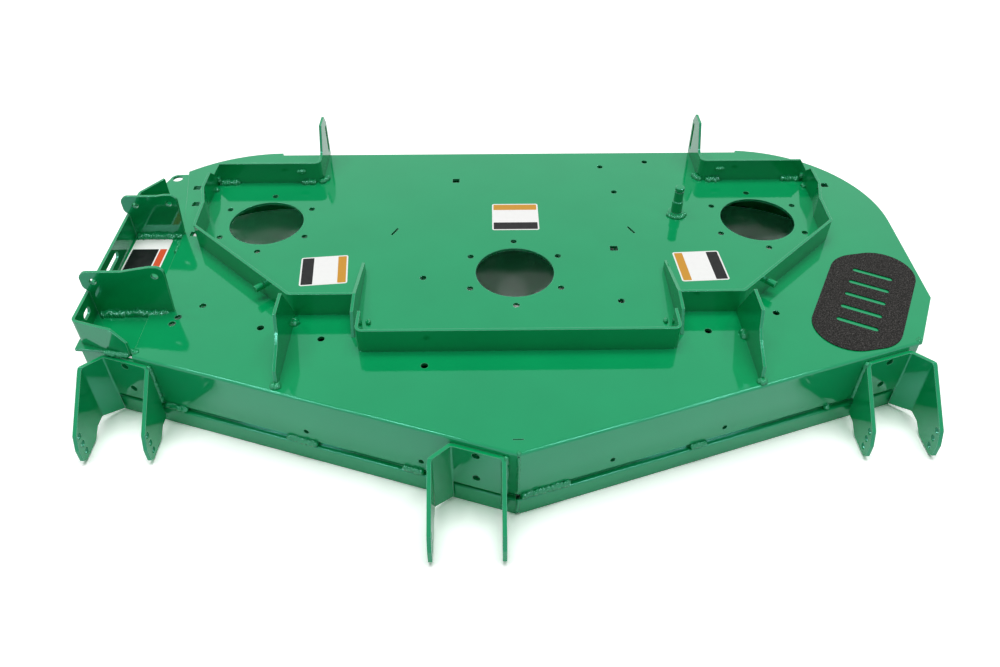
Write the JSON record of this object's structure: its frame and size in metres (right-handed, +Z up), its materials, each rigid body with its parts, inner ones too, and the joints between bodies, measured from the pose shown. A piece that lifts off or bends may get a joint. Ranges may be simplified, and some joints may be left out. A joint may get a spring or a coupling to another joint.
{
  "type": "lawn mower deck",
  "caption": "Welded steel mower deck shell with spindle bores, belt rails, lift hangers, roller brackets, chute ears and a side discharge.",
  "frame": {"origin": "centre of the middle spindle bore on the deck plate's top face", "axes": "+X to the right seen from the front, +Y to the rear, +Z up along the spindle"},
  "size_m": [1.3239, 0.8495, 0.21],
  "materials": {
    "green_paint": "gloss powder coat",
    "grit_mat": "gritty"
  },
  "bodies": {
    "root": {"deck_plate": "green_paint", "discharge_plate": "green_paint", "discharge_rail": "green_paint", "rear_chute_ear": "green_paint", "front_chute_ear": "green_paint", "discharge_front_wall": "green_paint", "right_skirt": "green_paint", "left_skirt": "green_paint", "left_edge_angle": "green_paint", "right_edge_angle": "green_paint", "left_roller_bracket": "green_paint", "centre_roller_bracket": "green_paint", "right_roller_bracket": "green_paint", "left_belt_rail": "green_paint", "right_belt_rail": "green_paint", "left_rear_hanger": "green_paint", "right_rear_hanger": "green_paint", "left_inner_hanger_plate": "green_paint", "right_inner_hanger_plate": "green_paint", "left_outer_hanger_plate": "green_paint", "right_outer_hanger_plate": "green_paint", "cross_channel": "green_paint", "left_cover_stud": "green_paint", "right_cover_stud": "green_paint", "idler_post": "green_paint", "front_baffle": "green_paint", "step_mat": "grit_mat"}
  },
  "joints": []
}
